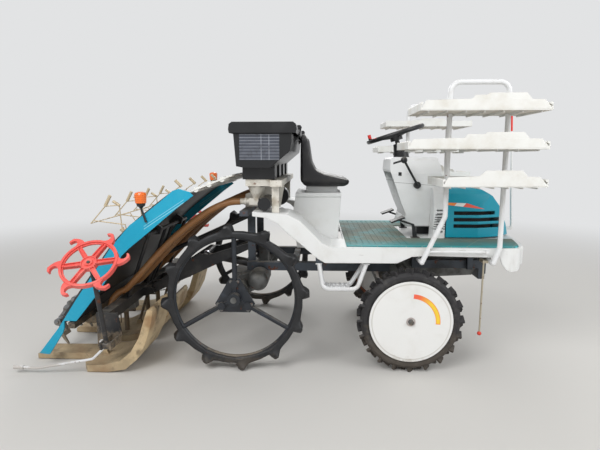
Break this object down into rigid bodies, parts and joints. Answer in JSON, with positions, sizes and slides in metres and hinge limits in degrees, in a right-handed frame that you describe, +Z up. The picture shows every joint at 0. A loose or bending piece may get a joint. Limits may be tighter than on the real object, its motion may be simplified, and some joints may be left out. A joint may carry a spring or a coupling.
{
  "type": "rice transplanter",
  "caption": "Riding rice transplanter with a lifting planting unit, sliding seedling table, planting rotors, seedling racks, fertiliser hopper, lugged wheels and folding row markers.",
  "frame": {"origin": "middle of the ground rectangle that the machine covers, on the ground", "axes": "+X forward along the machine, +Y to the machine's left, +Z up"},
  "size_m": [3.0164, 2.1136, 1.6157],
  "materials": {
    "white_paint": "satin, worn",
    "teal_plastic": "satin",
    "white_plastic": "matte",
    "black_plastic": "matte",
    "black_steel": "muddy",
    "grey_steel": "dirty",
    "cast_metal": "rough, dirty",
    "bare_steel": "dull",
    "mat_rubber": "ribbed",
    "seat_vinyl": "vinyl",
    "tyre_rubber": "dusty",
    "float_plastic": "scuffed, muddy",
    "hose_plastic": "ribbed",
    "red_plastic": "faded",
    "amber_plastic": "clear",
    "cream_paint": "satin"
  },
  "bodies": {
    "chassis": {"main_frame": "grey_steel", "front_case": "cast_metal", "rear_case": "cast_metal", "engine": "cast_metal", "deck_shell": "white_plastic", "deck_mat": "mat_rubber", "side_steps": "white_paint", "seat_base": "white_plastic", "seat": "seat_vinyl", "dash_cowl": "white_plastic", "steering_column": "black_plastic", "controls": "black_steel", "rack_frames": "white_paint", "rack_trays": "white_plastic", "side_rods": "cream_paint", "hopper": "black_plastic", "feed_units": "white_plastic", "air_duct": "black_plastic", "fertiliser_hoses": "hose_plastic"},
    "bonnet": {"bonnet": "teal_plastic", "guide_pole": "black_steel"},
    "hopper_lid": {"hopper_lid": "black_plastic"},
    "steering_wheel": {"steering_wheel": "black_plastic"},
    "pitman_arm": {"pitman_arm": "bare_steel"},
    "track_rod": {"track_rod": "bare_steel"},
    "knuckle_right": {"knuckle_right": "cast_metal"},
    "knuckle_left": {"knuckle_left": "cast_metal"},
    "front_wheel_right": {"front_wheel_right": "white_paint", "front_tyre_right": "tyre_rubber"},
    "front_wheel_left": {"front_wheel_left": "white_paint", "front_tyre_left": "tyre_rubber"},
    "rear_wheel_right": {"rear_wheel_right": "black_steel", "rear_tyre_right": "tyre_rubber"},
    "rear_wheel_left": {"rear_wheel_left": "black_steel", "rear_tyre_left": "tyre_rubber"},
    "lower_link": {"lower_links": "black_steel", "drive_shaft": "black_steel"},
    "top_link": {"top_link": "black_steel"},
    "lift_barrel": {"cylinder_barrel": "black_steel"},
    "lift_rod": {"cylinder_rod": "bare_steel"},
    "planter": {"planter_frame": "black_steel", "planting_cases": "cast_metal", "floats": "float_plastic", "fertiliser_boots": "black_plastic", "planter_guards": "white_paint"},
    "table": {"seedling_table": "white_plastic", "table_panels": "teal_plastic", "table_extension": "white_plastic", "mat_holders": "cream_paint", "lamps": "amber_plastic"},
    "rotor_right": {"rotor_right": "bare_steel"},
    "rotor_left": {"rotor_left": "bare_steel"},
    "arms_right_a": {"arms_right_a": "cream_paint"},
    "arms_right_b": {"arms_right_b": "cream_paint"},
    "arms_left_a": {"arms_left_a": "cream_paint"},
    "arms_left_b": {"arms_left_b": "cream_paint"},
    "marker_arm_right": {"marker_arm_right": "black_steel"},
    "marker_arm_left": {"marker_arm_left": "black_steel"},
    "marker_star_right": {"marker_star_right": "red_plastic"},
    "marker_star_left": {"marker_star_left": "red_plastic"}
  },
  "joints": [
    {"name": "lift", "type": "hinge", "parent": "chassis", "child": "lower_link", "pos_m": [-0.218, 0, 0.65], "axis": [0, 1, 0], "range_deg": [0, 31], "deforming": ["fertiliser_hoses"]},
    {"name": "planter_level", "type": "hinge", "parent": "lower_link", "child": "planter", "pos_m": [-0.89774, 0, 0.34022], "axis": [0, 1, 0], "range_deg": [-31, 0]},
    {"name": "top_link_swing", "type": "hinge", "parent": "chassis", "child": "top_link", "pos_m": [-0.218, 0, 0.84], "axis": [0, 1, 0], "range_deg": [0, 31]},
    {"name": "barrel_swing", "type": "hinge", "parent": "chassis", "child": "lift_barrel", "pos_m": [-0.198, -0.084, 0.5], "axis": [0, 1, 0], "range_deg": [0, 25.5]},
    {"name": "rod_slide", "type": "slide", "parent": "lift_barrel", "child": "lift_rod", "axis": [-0.9811, 0, 0.1934], "range_m": [0, 0.0719]},
    {"name": "table_slide", "type": "slide", "parent": "planter", "child": "table", "axis": [0, 1, 0], "range_m": [-0.128, 0.128]},
    {"name": "rotor_right_spin", "type": "hinge", "parent": "planter", "child": "rotor_right", "pos_m": [-1.358, -0.3, 0.26], "axis": [0, 1, 0], "continuous": true},
    {"name": "rotor_left_spin", "type": "hinge", "parent": "planter", "child": "rotor_left", "pos_m": [-1.358, 0.3, 0.26], "axis": [0, 1, 0], "continuous": true},
    {"name": "arms_right_a_swing", "type": "hinge", "parent": "rotor_right", "child": "arms_right_a", "pos_m": [-1.313, -0.3, 0.32], "axis": [0, 1, 0], "continuous": true},
    {"name": "arms_right_b_swing", "type": "hinge", "parent": "rotor_right", "child": "arms_right_b", "pos_m": [-1.403, -0.3, 0.2], "axis": [0, 1, 0], "continuous": true},
    {"name": "arms_left_a_swing", "type": "hinge", "parent": "rotor_left", "child": "arms_left_a", "pos_m": [-1.313, 0.3, 0.32], "axis": [0, 1, 0], "continuous": true},
    {"name": "arms_left_b_swing", "type": "hinge", "parent": "rotor_left", "child": "arms_left_b", "pos_m": [-1.403, 0.3, 0.2], "axis": [0, 1, 0], "continuous": true},
    {"name": "marker_arm_right_fold", "type": "hinge", "parent": "planter", "child": "marker_arm_right", "pos_m": [-0.917, -0.8, 0.217], "axis": [1, 0, 0], "range_deg": [0, 80]},
    {"name": "marker_arm_left_fold", "type": "hinge", "parent": "planter", "child": "marker_arm_left", "pos_m": [-0.917, 0.8, 0.217], "axis": [-1, 0, 0], "range_deg": [0, 80]},
    {"name": "marker_star_right_spin", "type": "hinge", "parent": "marker_arm_right", "child": "marker_star_right", "pos_m": [-0.931, -0.902, 0.688], "axis": [0, -0.6428, 0.766], "continuous": true},
    {"name": "marker_star_left_spin", "type": "hinge", "parent": "marker_arm_left", "child": "marker_star_left", "pos_m": [-0.931, 0.902, 0.688], "axis": [0, 0.6428, 0.766], "continuous": true},
    {"name": "steer_right", "type": "hinge", "parent": "chassis", "child": "knuckle_right", "pos_m": [0.732, -0.45, 0.3], "axis": [0, 0, 1], "range_deg": [-40, 40]},
    {"name": "steer_left", "type": "hinge", "parent": "chassis", "child": "knuckle_left", "pos_m": [0.732, 0.45, 0.3], "axis": [0, 0, 1], "range_deg": [-40, 40]},
    {"name": "pitman_swing", "type": "hinge", "parent": "chassis", "child": "pitman_arm", "pos_m": [0.732, 0, 0.372], "axis": [0, 0, 1], "range_deg": [-40, 40]},
    {"name": "track_rod_swing", "type": "hinge", "parent": "pitman_arm", "child": "track_rod", "pos_m": [0.622, 0, 0.372], "axis": [0, 0, 1], "range_deg": [-40, 40]},
    {"name": "steering_wheel_turn", "type": "hinge", "parent": "chassis", "child": "steering_wheel", "pos_m": [0.71, 0, 1.364], "axis": [-0.299, 0, 0.9542], "range_deg": [-400, 400]},
    {"name": "front_wheel_right_spin", "type": "hinge", "parent": "knuckle_right", "child": "front_wheel_right", "pos_m": [0.732, -0.57, 0.3], "axis": [0, 1, 0], "continuous": true},
    {"name": "front_wheel_left_spin", "type": "hinge", "parent": "knuckle_left", "child": "front_wheel_left", "pos_m": [0.732, 0.57, 0.3], "axis": [0, 1, 0], "continuous": true},
    {"name": "rear_wheel_right_spin", "type": "hinge", "parent": "chassis", "child": "rear_wheel_right", "pos_m": [-0.258, -0.6, 0.425], "axis": [0, 1, 0], "continuous": true},
    {"name": "rear_wheel_left_spin", "type": "hinge", "parent": "chassis", "child": "rear_wheel_left", "pos_m": [-0.258, 0.6, 0.425], "axis": [0, 1, 0], "continuous": true},
    {"name": "hopper_lid_open", "type": "hinge", "parent": "chassis", "child": "hopper_lid", "pos_m": [0.1, 0, 1.39], "axis": [0, 1, 0], "range_deg": [0, 95]},
    {"name": "bonnet_open", "type": "hinge", "parent": "chassis", "child": "bonnet", "pos_m": [1, 0, 1.044], "axis": [0, -1, 0], "range_deg": [0, 50]}
  ],
  "couplings": [
    {"joint": "planter_level", "follows": "lift", "ratio": -1},
    {"joint": "top_link_swing", "follows": "lift", "ratio": 1},
    {"joint": "barrel_swing", "follows": "lift", "ratio": 0.808},
    {"joint": "rod_slide", "follows": "lift", "m_per_rad": 0.131},
    {"joint": "rotor_left_spin", "follows": "rotor_right_spin", "ratio": 1},
    {"joint": "arms_right_a_swing", "follows": "rotor_right_spin", "ratio": -1},
    {"joint": "arms_right_b_swing", "follows": "rotor_right_spin", "ratio": -1},
    {"joint": "arms_left_a_swing", "follows": "rotor_right_spin", "ratio": -1},
    {"joint": "arms_left_b_swing", "follows": "rotor_right_spin", "ratio": -1},
    {"joint": "steer_left", "follows": "steer_right", "ratio": 1},
    {"joint": "pitman_swing", "follows": "steer_right", "ratio": 1},
    {"joint": "track_rod_swing", "follows": "steer_right", "ratio": -1},
    {"joint": "steering_wheel_turn", "follows": "steer_right", "ratio": 10}
  ]
}
